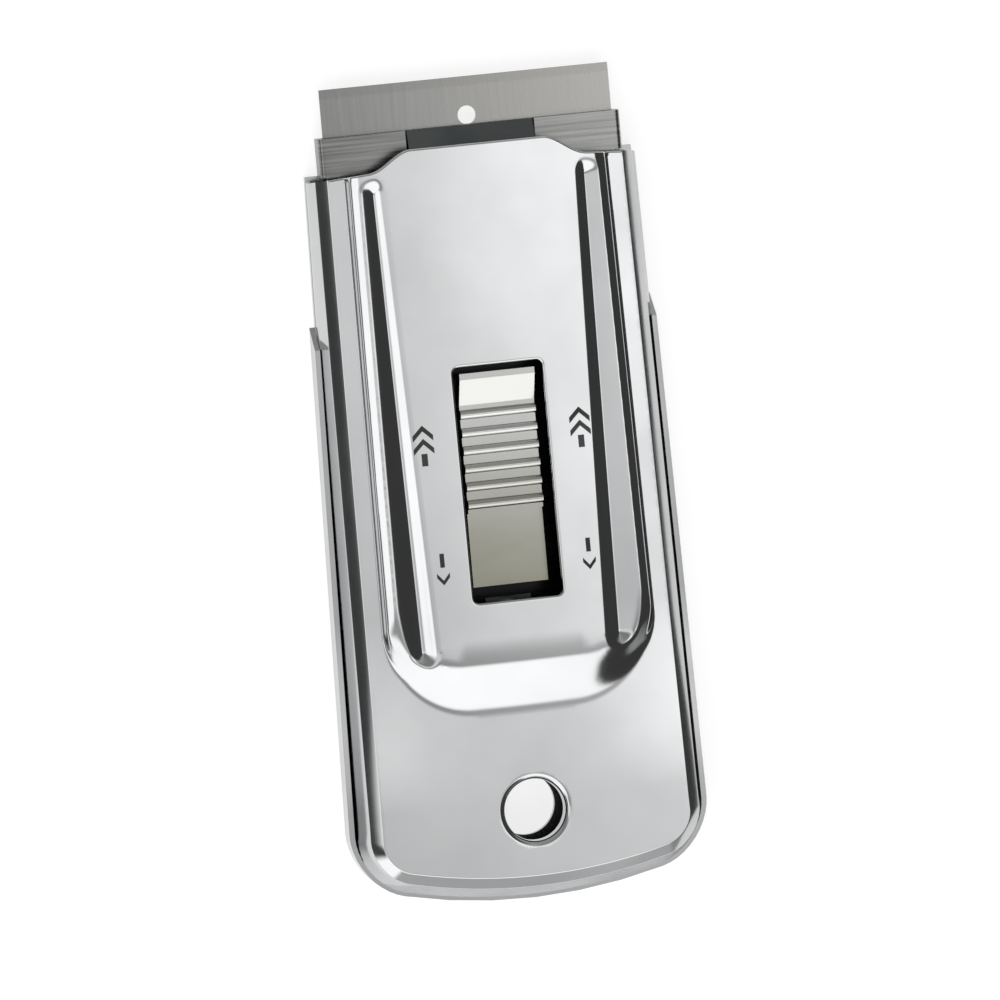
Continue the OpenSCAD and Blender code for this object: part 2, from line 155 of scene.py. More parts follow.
# How finely the skin is laid out
SIDE_STEPS = 48
CORNER_STEPS = 24
REAR_STEPS = 96
BLEND_STEPS = 6
FRONT_POINTS = 162
WINDOW_CORNER_STEPS = 8
WINDOW_PITCH = 0.5 * MM
HANG_POINTS = 64
ROLL_STEPS = 8
GRID_PITCH = 0.5 * MM
GRID_HALF_W = 22 * MM
ROW_PITCH = 0.3 * MM
# The range of shares of the panel's slope, and how often it is halved to find a place's own
RAMP_RANGE = (-0.5, 1.5)
RAMP_HALVINGS = 26
# Rows of points up the panel's slope: close together over its foot, wider above
SLOPE_ROWS = (*np.linspace(-0.18, 0.27, 16), *np.linspace(0.33, 1.12, 12))
# Rows of points out from the groove's trough, and the pitch and least count round its ends
GROOVE_ROWS = (*np.linspace(0, 0.8, 9), *np.linspace(0.86, 1.5, 12))
GROOVE_END_PITCH = 0.6 * ROW_PITCH
GROOVE_END_POINTS = 4
# The shares within which the rows stand in for the grid, and the groove's for the slope's
SLOPE_CLEAR = (-0.3, 1.2)
GROOVE_CLEAR = 1.55
GROOVE_FIRST = 1.1
# Rows beside the shoulder and the hang hole that keep the flat there even, and their clearance
CALM_ROWS = (0.05 * MM, 0.13 * MM, 0.25 * MM)
CALM_CLEAR = 0.37 * MM
CALM_POINTS = 72
# Rows that follow a pressed edge, and their clearance
EDGE_ROWS = tuple(row * MM for row in (0.04, 0.09, 0.15, 0.22, 0.3, 0.4, 0.52))
EDGE_CLEAR = 0.67 * MM
FRONT_ROW_SIDE = 0.15 * MM
# The triangulation works in millimetres
PER_METRE = 1000
MERGE = 0.0005 * MM
SHARP_ANGLE = math.radians(50)

# Generic stamped marks beside the window, in millimetres: double arrows to the blade in front,
# single ones rearwards behind. An arrowhead has a half width, a rise and a stroke, a stem a half
# width and a half length.
MARKS = (
    {"places": ((-10.6, 7.1), (10.1, 7.4)), "heads_at": (1.9, 0.2), "head": (1.35, 1.3, 0.75),
     "stem_at": -1.9, "stem": (0.4, 0.8)},
    {"places": ((-9.6, -8.8), (9.7, -8.8)), "heads_at": (-1.2,), "head": (0.85, -1, 0.6),
     "stem_at": 0.9, "stem": (0.3, 0.9)},
)
MARK_T = 0.03 * MM

# Polished plate: cells per metre of its smudges and waves, and how much rougher a smudge is
SMUDGE_SCALE = 90
SMUDGE_ROUGHER = 1.6
WAVE_SCALE = 45
WAVE_H = 0.02 * MM
# The pressed sheet is crowned a little across its width, and less so towards the rear: where the
# change starts and ends along the body, and the crown's share before and after it
CROWN_R = 0.3
CROWN_FADE = (-40 * MM, -15 * MM, 0.3, 1)

# Steel: cells per metre of its lines and patches, the lines' stretch, height and roughness
LINE_SCALE = 60
PATCH_SCALE = 110
LINES_ALONG_X = (1, 40, 1)
LINES_ALONG_Y = (30, 1, 1)
NO_LINES = (1, 1, 1)
LINE_H = 0.004 * MM
LINE_ROUGHER = 1.5
# Painted shade: the carrier's colour is darkened inside the body, where no lamp reaches it
INSIDE_PAINTED_SHADE = (0.02, 0.02, 0.02)
PAINTED_SHADE_FADE = 8 * MM

# Levels of what the metal mirrors
LAMP = 1.72
ROOM = 0.4
REAR_ROOM = 0.6
DARK_BOARD = 0.06
# The soft box overhead, the lamps and the room, as steps along an axis of the direction that
# is mirrored: where the step starts and ends, and the level or share before and after it
BOX_ACROSS = ("X", 0.055, 0.335, 0.92, 1.45)
BOX_ALONG = ("Y", -0.15, 0, 0.47, 1.16)
BOX_RIGHT_EDGE = ("X", 0.365, 0.455, 1, 0)
BOX_FRONT_EDGE = ("Y", 0.05, 0.33, 1, 0.3)
BOX_LOW_EDGE = ("Z", 0.42, 0.56, 0, 1)
BOX_OPEN_BEHIND = ("Y", -0.4, -0.6, 0, 1)
LEFT_LAMP = ("X", -0.49, -0.71, 0, LAMP)
REAR_LAMP = ("Y", -0.18, -0.35, 0, LAMP)
REAR_LAMP_END = ("Y", -0.86, -0.93, 1, 0)
ROOM_BEFORE = ("Y", 0.4, 0.7, DARK_BOARD, ROOM)
ROOM_BEHIND = ("Y", -0.75, -0.9, DARK_BOARD, REAR_ROOM)
LOW_GLOW = ("Z", 0.2, 0.35, ROOM, 0)
LOW_GLOW_RIGHT_EDGE = ("X", 0.8, 0.92, 1, 0)

# Floor: its size, how far it lies below the object, its grey, and the glow that a camera sees
FLOOR_SIZE = 3
FLOOR_DROP = 0.1 * MM
FLOOR_GREY = 0.36
FLOOR_ROUGH = 0.9
FLOOR_GLOW = 0.78

# Camera, from the photograph: the scale, the direction it looks from, and the object's turn
PHOTO_PX = 1000
PX_PER_MM = 7.78
CAMERA_DISTANCE = 1.2
FROM_LEFT = math.radians(12)
FROM_FRONT = math.radians(6)
TURN = math.radians(5.1)
SENSOR_MM = 36
NEAR_CLIP = 0.05
# The middle of the cutting edge, and the pixel that shows it in the photograph
EDGE_POINT = Vector((0, EDGE_Y, 2.2 * MM))
EDGE_PX = (463, 76)


# Materials


def new_material(name):
    """An empty node material, its tree and its Principled shader."""
    material = bpy.data.materials.new(name)
    material.use_nodes = True
    return material, material.node_tree, material.node_tree.nodes["Principled BSDF"]


def noise(tree, scale, detail=2.0, stretch=(1, 1, 1)):
    """Noise over the object's own coordinates, in cells per metre, stretched along an axis."""
    coords = tree.nodes.new("ShaderNodeTexCoord")
    mapping = tree.nodes.new("ShaderNodeMapping")
    mapping.inputs["Scale"].default_value = stretch
    texture = tree.nodes.new("ShaderNodeTexNoise")
    texture.inputs["Scale"].default_value = scale
    texture.inputs["Detail"].default_value = detail
    tree.links.new(coords.outputs["Object"], mapping.inputs["Vector"])
    tree.links.new(mapping.outputs["Vector"], texture.inputs["Vector"])
    return texture.outputs["Fac"]


def position(tree, axis, space="Object"):
    """Where a place lies on its own object along an axis, or which way a sky's direction points."""
    coords = tree.nodes.new("ShaderNodeTexCoord")
    split = tree.nodes.new("ShaderNodeSeparateXYZ")
    tree.links.new(coords.outputs[space], split.inputs["Vector"])
    return split.outputs[axis]


def ramp(tree, source, low, high, start=0.3, end=0.7, kind="LINEAR"):
    """Maps a value onto a range of numbers, by default from the middle of a noise's range."""
    node = tree.nodes.new("ShaderNodeMapRange")
    node.interpolation_type = kind
    node.inputs["From Min"].default_value = start
    node.inputs["From Max"].default_value = end
    node.inputs["To Min"].default_value = low
    node.inputs["To Max"].default_value = high
    tree.links.new(source, node.inputs["Value"])
    return node.outputs["Result"]


def step(tree, source, start, end, low, high):
    """A smooth step from one level to another."""
    return ramp(tree, source, low, high, start, end, "SMOOTHSTEP")


def tint(tree, source, first, second):
    """A colour between two, by a 0 to 1 value."""
    node = tree.nodes.new("ShaderNodeMix")
    node.data_type = "RGBA"
    colors = [socket for socket in node.inputs if socket.type == "RGBA"]
    for socket, color in zip(colors, (first, second)):
        if isinstance(color, tuple):
            socket.default_value = (*color, 1)
        else:
            tree.links.new(color, socket)
    tree.links.new(source, node.inputs["Factor"])
    return next(socket for socket in node.outputs if socket.type == "RGBA")


def combine(tree, operation, first, *others):
    """Runs one operation over two or more numbers or sockets, from left to right."""
    result = first
    for other in others:
        node = tree.nodes.new("ShaderNodeMath")
        node.operation = operation
        for socket, value in zip(node.inputs, (result, other)):
            if isinstance(value, (int, float)):
                socket.default_value = value
            else:
                tree.links.new(value, socket)
        result = node.outputs["Value"]
    return result


def bump(tree, shader, source, depth):
    """Lets a height, times a depth in metres, turn the shader's normal."""
    node = tree.nodes.new("ShaderNodeBump")
    node.inputs["Distance"].default_value = depth
    tree.links.new(source, node.inputs["Height"])
    tree.links.new(node.outputs["Normal"], shader.inputs["Normal"])


def chrome(name, first, second, rough):
    """Polished plate: faint smudges in the gloss, the sheet's crown and its slight waviness."""
    material, tree, shader = new_material(name)
    shader.inputs["Metallic"].default_value = 1
    smudge = noise(tree, SMUDGE_SCALE, detail=3)
    color = tint(tree, ramp(tree, smudge, 0, 1), first, second)
    tree.links.new(color, shader.inputs["Base Color"])
    tree.links.new(ramp(tree, smudge, rough, rough * SMUDGE_ROUGHER), shader.inputs["Roughness"])
    x = position(tree, "X")
    fade = step(tree, position(tree, "Y"), *CROWN_FADE)
    crown = combine(tree, "MULTIPLY", x, x, fade, -1 / (2 * CROWN_R))
    waves = combine(tree, "MULTIPLY", noise(tree, WAVE_SCALE, detail=1), WAVE_H)
    bump(tree, shader, combine(tree, "ADD", crown, waves), 1)
    return material


def steel(name, first, second, rough, stretch=LINES_ALONG_X, depth=LINE_H, painted_shading=None, painted_shade_from=None):
    """Ground or rolled steel with fine lines.

    Its colour changes in random patches, or slowly along an axis as painted light and shade: the
    painted shading gives the axis, where the change starts and ends, and its share beside the
    lines'. Behind the station where the painted shade starts, the colour is darkened as shade
    inside the body.
    """
    material, tree, shader = new_material(name)
    shader.inputs["Metallic"].default_value = 1
    lines = noise(tree, LINE_SCALE, detail=4, stretch=stretch)
    if painted_shading:
        axis, start, end, share = painted_shading
        # Painted light and shade: the colour runs from dark to light along the axis, as the reflections
        # fall on the part
        painted_gradient = combine(tree, "MULTIPLY", ramp(tree, position(tree, axis), 0, 1, start, end), share)
        streaks = combine(tree, "MULTIPLY", ramp(tree, lines, 0, 1), 1 - share)
        mix = combine(tree, "ADD", painted_gradient, streaks)
    else:
        mix = ramp(tree, noise(tree, PATCH_SCALE), 0, 1)
    color = tint(tree, mix, first, second)
    # Painted shade: behind the given station the colour is darkened, as shade inside the body
    if painted_shade_from:
        painted_lit_share = step(tree, position(tree, "Y"), painted_shade_from - PAINTED_SHADE_FADE, painted_shade_from, 0, 1)
        color = tint(tree, painted_lit_share, INSIDE_PAINTED_SHADE, color)
    tree.links.new(color, shader.inputs["Base Color"])
    tree.links.new(ramp(tree, lines, rough, rough * LINE_ROUGHER), shader.inputs["Roughness"])
    bump(tree, shader, lines, depth)
    return material


COVER_CHROME = chrome("cover_chrome", (0.57, 0.575, 0.58), (0.53, 0.535, 0.54), 0.08)
PLATE_CHROME = chrome("plate_chrome", (0.54, 0.545, 0.55), (0.5, 0.505, 0.51), 0.14)
# Painted shade: the thumb piece is darker and more olive towards the rear, lighter towards the front
THUMB_NICKEL_PAINTED_SHADING = steel(
    "thumb_nickel_painted_shading", (0.31, 0.305, 0.235), (0.6, 0.6, 0.59), 0.16,
    stretch=(1, 3, 1), depth=LINE_H / 2, painted_shading=("Y", -12 * MM, 9 * MM, 0.85))
# Painted light and shade: darker at the left and lighter at the right, where the reflections on the ears
# differ; painted shade inside the body
CARRIER_STEEL_PAINTED_SHADING = steel(
    "carrier_steel_painted_shading", (0.1, 0.105, 0.105), (0.5, 0.495, 0.48), 0.22,
    painted_shading=("X", -24 * MM, 24 * MM, 0.5), painted_shade_from=34 * MM)
# Painted light and shade: the blade is darker at the left and lighter at the right, where its reflections
# differ
BLADE_STEEL_PAINTED_SHADING = steel(
    "blade_steel_painted_shading", (0.2, 0.205, 0.205), (0.5, 0.49, 0.465), 0.2,
    stretch=LINES_ALONG_Y, painted_shading=("X", -22 * MM, 22 * MM, 0.75))
SPRING_STEEL = steel("spring_steel", (0.16, 0.17, 0.17), (0.12, 0.13, 0.13), 0.3)
INSIDE_STEEL = steel("inside_steel", (0.12, 0.12, 0.115), (0.09, 0.09, 0.09), 0.45, NO_LINES)
RIVET_STEEL = steel("rivet_steel", (0.45, 0.45, 0.45), (0.38, 0.38, 0.38), 0.3, NO_LINES)
MARK_PATINA = steel("mark_patina", (0.1, 0.1, 0.1), (0.05, 0.05, 0.05), 0.5, NO_LINES)

NODE_MATERIALS = {
    "front_cover": COVER_CHROME,
    "back_plate": PLATE_CHROME,
    "blade_carrier": CARRIER_STEEL_PAINTED_SHADING,
    "thumb_piece": THUMB_NICKEL_PAINTED_SHADING,
    "thumb_rivets": RIVET_STEEL,
    "guide_pin": RIVET_STEEL,
    "blade_spring": SPRING_STEEL,
    "spring_rivets": RIVET_STEEL,
    "drag_spring": SPRING_STEEL,
    "drag_rivet": RIVET_STEEL,
    "razor_blade": BLADE_STEEL_PAINTED_SHADING,
    "blade_spine": BLADE_STEEL_PAINTED_SHADING,
}
for node_name, node_material in NODE_MATERIALS.items():
    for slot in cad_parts[node_name].material_slots:
        slot.material = node_material


# Form of the front cover: plan lines, and heights over its leaning top plane


def shoulder_half(y):
    """Half width of the cover at its shoulders."""
    return (REAR_W + (FRONT_W - REAR_W) * (y - REAR_Y) / BODY_L) / 2


def panel_half(y):
    """Half width of the raised panel at the head of its bevel."""
    return shoulder_half(y) - STRIP_W - PANEL_SIDE_RUN


def skirt_corner_r(t):
    """Plan radius of the skirt's corners at a share of its height."""
    return SKIRT_L * (SKIRT_CORNER - t / 2)


def leaned(points):
    """Turns points drawn over the level top plane down onto the leaning one."""
    x, y, z = points.T
    run = y - REAR_Y
    return np.column_stack([
        x,
        REAR_Y + run * math.cos(LEAN) + z * math.sin(LEAN),
        REAR_H - run * math.sin(LEAN) + z * math.cos(LEAN),
    ])


def lowered(plan, drop):
    """Points of a plan outline, leaned, at a drop below the top plane."""
    return leaned(np.column_stack([plan, np.full(len(plan), -drop)]))


def nose_y(x):
    """Plan of the cover's front edge: a nose that turns back in an S on each side."""
    turn = np.clip((np.abs(x) - NOSE_HALF) / NOSE_TURN, 0, 1)
    rake = np.maximum(0, np.abs(x) - NOSE_HALF - NOSE_TURN) / (FRONT_W / 2 - NOSE_HALF - NOSE_TURN)
    return MOUTH_Y - NOSE_OUT * (1 - np.cos(np.pi * turn)) / 2 - STRIP_RAKE * rake


def eased(t, ease):
    """A ramp from 0 to 1 whose two ends bend over the share `ease` of its length."""
    t = np.clip(t, 0, 1)
    slope = 1 / (1 - ease)
    foot = slope * t * t / (2 * ease)
    middle = slope * (t - ease / 2)
    head = 1 - slope * (1 - t) ** 2 / (2 * ease)
    return np.where(t < ease, foot, np.where(t > 1 - ease, head, middle))


def soft_min(a, b, k):
    """The lesser of two heights, rounded where they differ by less than k."""
    h = np.maximum(k - np.abs(a - b), 0) / k
    return np.minimum(a, b) - h * h * k / 4


def panel_ramp(x, y):
    """How far up the panel's slope each place lies, 0 at its foot and 1 on the panel.

    The slope's plan lines are nested round the panel, so the share is found by halving.
    """
    low, high = (np.full_like(x, share) for share in RAMP_RANGE)
    for _ in range(RAMP_HALVINGS):
        t = (low + high) / 2
        half = panel_half(y) + PANEL_RUN * (1 - t)
        rear = SKIRT_FOOT_Y + SKIRT_L * t
        r = skirt_corner_r(t)
        dx = np.abs(x) - (half - r)
        dy = rear + r - y + x * x / (2 * PANEL_BOW_R)
        corner = (dx > 0) & (dy > 0)
        outside = np.where(corner, np.hypot(dx, dy) - r, np.maximum(dx - r, dy - r))
        low = np.where(outside < 0, t, low)
        high = np.where(outside < 0, high, t)
    return (low + high) / 2


def groove_frame():
    """The groove's front point, its direction rearwards and its length."""
    front_y = MOUTH_Y - GROOVE_START
    rear_y = MOUTH_Y - GROOVE_END
    front = np.array([panel_half(front_y) - GROOVE_FRONT_IN, front_y])
    rear = np.array([panel_half(rear_y) - GROOVE_REAR_IN, rear_y])
    length = np.linalg.norm(rear - front)
    return front, (rear - front) / length, length


def groove_half(t):
    """Half width of the groove at a share of its length."""
    return (GROOVE_FRONT_W + (GROOVE_REAR_W - GROOVE_FRONT_W) * t) / 2


def groove_place(x, y):
    """How far along the groove each place lies, 0 to 1, and how far out, 0 in the trough to 1."""
    front, along, length = groove_frame()
    dx, dy = np.abs(x) - front[0], y - front[1]
    run = dx * along[0] + dy * along[1]
    side = -dx * along[1] + dy * along[0]
    t = np.clip(run / length, 0, 1)
    half = groove_half(t)
    off = side + GROOVE_LEAN_SHARE * half
    reach = half * np.where(off < 0, 1 - GROOVE_LEAN_SHARE, 1 + GROOVE_LEAN_SHARE)
    beyond = (run - length * t) / half
    return t, np.hypot(off / reach, beyond)


def groove_height(x, y):
    """Height of the groove's trough above the side strips, closed by a round end at each end."""
    t, q = groove_place(x, y)
    depth = GROOVE_FRONT_D + (GROOVE_REAR_D - GROOVE_FRONT_D) * t
    wall = np.where(q < 1, q ** GROOVE_POWER, 1 + GROOVE_POWER * (q - 1))
    return PANEL_RISE - depth * (1 - wall)


def window_distance(x, y):
    """Distance outside the window's round-cornered outline."""
    dx = np.abs(x) - (WINDOW_W / 2 - WINDOW_R)
    dy = np.abs(y - WINDOW_Y) - (WINDOW_L / 2 - WINDOW_R)
    beyond_corner = np.hypot(np.maximum(dx, 0), np.maximum(dy, 0))
    return beyond_corner + np.minimum(np.maximum(dx, dy), 0) - WINDOW_R


def edge_drop(distance):
    """The small turn-down of a pressed edge."""
    d = np.clip(distance / EDGE_ROUND, 0, 1)
    return EDGE_ROUND * (1 - np.sqrt(1 - (1 - d) ** 2)) * EDGE_DEPTH_SHARE


def side_profile(t):
    """Share of the panel's rise reached up its side slope."""
    bevel = BEVEL_LOW_SHARE + (1 - BEVEL_LOW_SHARE) * t
    height = soft_min(soft_min(BEVEL_STEEP * t, bevel, BEVEL_FOOT_BLEND), 1, BEVEL_HEAD_BLEND)
    return -soft_min(-height, 0, SLOPE_FOOT_BLEND)


def top_height(x, y):
    """Height of the cover's top over its side strips."""
    t = panel_ramp(x, y)
    along = np.clip((y - (MOUTH_Y - PANEL_L - SIDE_FORM_BEHIND)) / SIDE_FORM_RUN, 0, 1)
    side = along * along * (3 - 2 * along)
    panel = PANEL_RISE * (side * side_profile(t) + (1 - side) * eased(t, SKIRT_EASE))
    height = soft_min(panel, groove_height(x, y), GROOVE_BLEND)
    return height - edge_drop(window_distance(x, y)) - edge_drop(nose_y(x) - y)


# Outlines and rings of the cover's skin


def bowed(points):
    """Lifts the points of a rear end by its bow."""
    return [(x, y + x * x / (2 * REAR_BOW_R)) for x, y in points]


def side_outline(grow, rear_grow):
    """Plan of one ring of the cover, from the left front round the rear to the right front."""
    def half(y):
        return shoulder_half(y) + grow

    rear = SHOULDER_REAR_Y - rear_grow
    r = REAR_CORNER_R + grow
    corner_y = rear + r
    left_x = -half(corner_y)
    side_end_y = bowed([(left_x, corner_y)])[0][1]
    front_y = float(nose_y(np.array([half(MOUTH_Y)]))[0])
    sides = []
    for i in range(SIDE_STEPS):
        share = i / SIDE_STEPS
        y = front_y + (side_end_y - front_y) * share
        sides.append((-half(y) - SIDE_BOW * share * (1 - share), y))
    corner = []
    for i in range(CORNER_STEPS):
        a = math.pi + math.pi / 2 * i / CORNER_STEPS
        corner.append((left_x + r + r * math.cos(a), corner_y + r * math.sin(a)))
    run = [(left_x + r + 2 * (-left_x - r) * i / REAR_STEPS, rear) for i in range(REAR_STEPS + 1)]
    left = sides + bowed(corner)
    return np.array(left + bowed(run) + [(-x, y) for x, y in reversed(left)])


def shoulder_rings():
    """(inset, drop) of each ring from the top's edge down to the head of the walls."""
    rings = []
    for i in range(BLEND_STEPS + 1):
        a = SHOULDER_SLOPE * i / BLEND_STEPS
        rings.append((SHOULDER_R - SHOULDER_BLEND_R * math.sin(a), SHOULDER_BLEND_R * (1 - math.cos(a))))
    for i in range(BLEND_STEPS + 1):
        a = SHOULDER_SLOPE + (math.pi / 2 - SHOULDER_SLOPE) * i / BLEND_STEPS
        rings.append((SHOULDER_BLEND_R * (1 - math.sin(a)), SHOULDER_DROP - SHOULDER_BLEND_R * math.cos(a)))
    stretch = (SHOULDER_R + WALL_OUT) / SHOULDER_R
    return [(inset * stretch - WALL_OUT, drop) for inset, drop in rings]


def wall_rings():
    """The walls' foot ring, level on the back plate, and its copy where the plate's rim ends."""
    head = lowered(side_outline(WALL_OUT, WALL_OUT), SHOULDER_DROP)
    side_out = WALL_DEPTH * math.tan(SIDE_DRAFT) + WALL_TOUCH
    rear_out = WALL_DEPTH * math.tan(REAR_DRAFT) + WALL_TOUCH
    low = lowered(side_outline(side_out, rear_out), WALL_DEPTH)
    share = (head[:, 2] - PLATE_T) / (head[:, 2] - low[:, 2])
    foot = head + (low - head) * share[:, None]
    rim = foot.copy()
    rim[:, 2] = PLATE_T + RIM_H
    return [rim, foot]


def hang_ring(r, count=HANG_POINTS):
    """Plan of a circle round the hang hole."""
    a = np.linspace(0, 2 * math.pi, count, endpoint=False)
    return np.column_stack([r * np.cos(a), HANG_Y + r * np.sin(a)])


def hang_rings():
    """Rings down the hang hole's roll and its collar."""
    rings = []
    for i in range(1, ROLL_STEPS + 1):
        a = math.pi / 2 * i / ROLL_STEPS
        r = HANG_RIM_R - HANG_ROLL * math.sin(a)
        rings.append(lowered(hang_ring(r), HANG_ROLL * (1 - math.cos(a))))
    rings.append(lowered(hang_ring(HANG_D / 2), COLLAR_DROP))
    return rings


def window_outline(grow=0):
    """Plan of the window, grown all round."""
    x = WINDOW_W / 2 - WINDOW_R
    dy = WINDOW_L / 2 - WINDOW_R
    r = WINDOW_R + grow
    points = []
    corners = [(x, dy, 0), (-x, dy, 90), (-x, -dy, 180), (x, -dy, 270)]
    for k, (cx, cy, start) in enumerate(corners):
        for i in range(WINDOW_CORNER_STEPS + 1):
            a = math.radians(start + 90 * i / WINDOW_CORNER_STEPS)
            points.append((cx + r * math.cos(a), WINDOW_Y + cy + r * math.sin(a)))
        nx, ny, _ = corners[(k + 1) % 4]
        from_x, from_y = points[-1]
        a = math.radians(start + 90)
        to_x = nx + r * math.cos(a)
        to_y = WINDOW_Y + ny + r * math.sin(a)
        steps = int(math.hypot(to_x - from_x, to_y - from_y) / WINDOW_PITCH)
        for i in range(1, steps):
            points.append((from_x + (to_x - from_x) * i / steps, from_y + (to_y - from_y) * i / steps))
    return np.array(points)


# Points over the cover's top


def inside(points, outline):
    """Which points lie inside a closed outline."""
    x, y = points.T
    result = np.zeros(len(points), bool)
    for (x0, y0), (x1, y1) in zip(outline, np.roll(outline, -1, axis=0)):
        if y0 == y1:
            continue
        crosses = (y0 > y) != (y1 > y)
        result ^= crosses & (x < (x1 - x0) * (y - y0) / (y1 - y0) + x0)
    return result


def grid():
    """Staggered points over the whole top."""
    xs = np.arange(-GRID_HALF_W, GRID_HALF_W, GRID_PITCH)
    ys = np.arange(REAR_Y, MOUTH_Y + GRID_PITCH, GRID_PITCH)
    x, y = np.meshgrid(xs, ys)
    x = x + np.where(np.arange(len(ys)) % 2 == 0, 0, GRID_PITCH / 2)[:, None]
    return np.column_stack([x.ravel(), y.ravel()])


def slope_rows():
    """Staggered rows along the panel's slope: down one side, round the skirt and up the other."""
    rows = []
    for i, t in enumerate(SLOPE_ROWS):
        side_run = PANEL_RUN * (1 - t)
        r = skirt_corner_r(t)
        corner_y = SKIRT_FOOT_Y + SKIRT_L * t + r
        half = panel_half(corner_y) + side_run
        ys = np.linspace(corner_y, MOUTH_Y, int(PANEL_L / ROW_PITCH)) + i % 2 * ROW_PITCH / 2
        a = np.linspace(0, math.pi / 2, int(r * math.pi / 2 / ROW_PITCH))[1:-1]
        for sign in (-1, 1):
            rows.append(np.column_stack([sign * (panel_half(ys) + side_run), ys]))
            rows.append(np.column_stack([sign * (half - r + r * np.cos(a)), corner_y - r * np.sin(a)]))
    return np.vstack(rows)


def groove_rows():
    """Rows of points along the groove's walls, with half rings round its ends."""
    front, along, length = groove_frame()
    out = np.array([-along[1], along[0]])
    share = np.linspace(0, 1, int(length / ROW_PITCH))
    rows = []
    for q in GROOVE_ROWS:
        for lean in (-1, 1):
            half = groove_half(share)
            off = -GROOVE_LEAN_SHARE * half + q * lean * half * (1 + lean * GROOVE_LEAN_SHARE)
            rows.append(front + np.outer(share * length, along) + np.outer(off, out))
        for t, way in ((0, -1), (1, 1)):
            half = groove_half(t)
            count = max(GROOVE_END_POINTS, int(half * q * math.pi / GROOVE_END_PITCH))
            a = np.linspace(0, math.pi, count)[1:-1]
            off = q * half * np.cos(a) * (1 + np.sign(np.cos(a)) * GROOVE_LEAN_SHARE)
            off -= GROOVE_LEAN_SHARE * half
            run = t * length + way * q * half * np.sin(a)
            rows.append(front + np.outer(run, along) + np.outer(off, out))
    right = np.vstack(rows)
    return np.vstack([right, right * (-1, 1)])


def front_row(inset):
    """A row of points behind the front edge."""
    reach = shoulder_half(MOUTH_Y) - SHOULDER_R - FRONT_ROW_SIDE
    x = np.linspace(-reach, reach, FRONT_POINTS)
    return np.column_stack([x, nose_y(x) - inset])


def top_points():
    """Points over the top: rows along slopes, grooves and edges, and a grid over the rest."""
    even = grid()
    x, y = even.T
    t = panel_ramp(x, y)
    on_slope = (t > SLOPE_CLEAR[0]) & (t < SLOPE_CLEAR[1]) & (y > MOUTH_Y - PANEL_L)
    even = even[~on_slope & (groove_place(x, y)[1] > GROOVE_CLEAR)]
    slope = slope_rows()
    slope = slope[groove_place(*slope.T)[1] > GROOVE_FIRST]
    groove = groove_rows()
    off_slope = panel_ramp(*groove.T) > SLOPE_ROWS[-1]
    groove = groove[off_slope | (groove_place(*groove.T)[1] <= GROOVE_FIRST)]
    points = np.vstack([even, slope, groove])

    x, y = points.T
    inset = -SHOULDER_R - CALM_CLEAR
    keep = inside(points, side_outline(inset, inset))
    keep &= y < nose_y(x) - EDGE_CLEAR
    keep &= window_distance(x, y) > EDGE_CLEAR
    keep &= np.hypot(x, y - HANG_Y) > HANG_RIM_R + CALM_CLEAR
    rows = [points[keep]]
    rows += [window_outline(row) for row in EDGE_ROWS]
    rows += [front_row(row) for row in EDGE_ROWS]
    for row in CALM_ROWS:
        rim = side_outline(-SHOULDER_R - row, -SHOULDER_R - row)
        rows.append(rim[rim[:, 1] < nose_y(rim[:, 0]) - EDGE_CLEAR])
        rows.append(hang_ring(HANG_RIM_R + row, CALM_POINTS))
    return np.vstack(rows)


# Front cover


class Skin:
    """Points and faces of a sheet's outer skin."""

    def __init__(self):
        self.verts = []
        self.faces = []

    def add(self, points):
        """Adds points, and returns their numbers."""
        start = len(self.verts)
        self.verts.extend(points.tolist())
        return list(range(start, len(self.verts)))

    def drape(self, edge, rings, closed=False):
        """Hangs ring after ring of points from an edge, with a row of faces down to each."""
        count = len(edge)
        for points in rings:
            ring = self.add(points)
            for i in range(count if closed else count - 1):
                j = (i + 1) % count
                self.faces.append((edge[i], edge[j], ring[j], ring[i]))
            edge = ring


def triangulated(loops, points):
    """Triangles over points in plan, with closed loops of points as edges.

    Returns all the points, the triangles, and for each loop the numbers of its points.
    """
    plan = np.vstack([*loops, points])
    edges = []
    spans = []
    start = 0
    for loop in loops:
        count = len(loop)
        edges += [(start + i, start + (i + 1) % count) for i in range(count)]
        spans.append(range(start, start + count))
        start += count
    result = delaunay_2d_cdt([Vector(p * PER_METRE) for p in plan], edges, [], 0, 0)
    flat = np.array([(v.x, v.y) for v in result[0]]) / PER_METRE
    placed = {old: new for new, sources in enumerate(result[3]) for old in sources}
    return flat, np.array(result[2]), [[placed[i] for i in span] for span in spans]


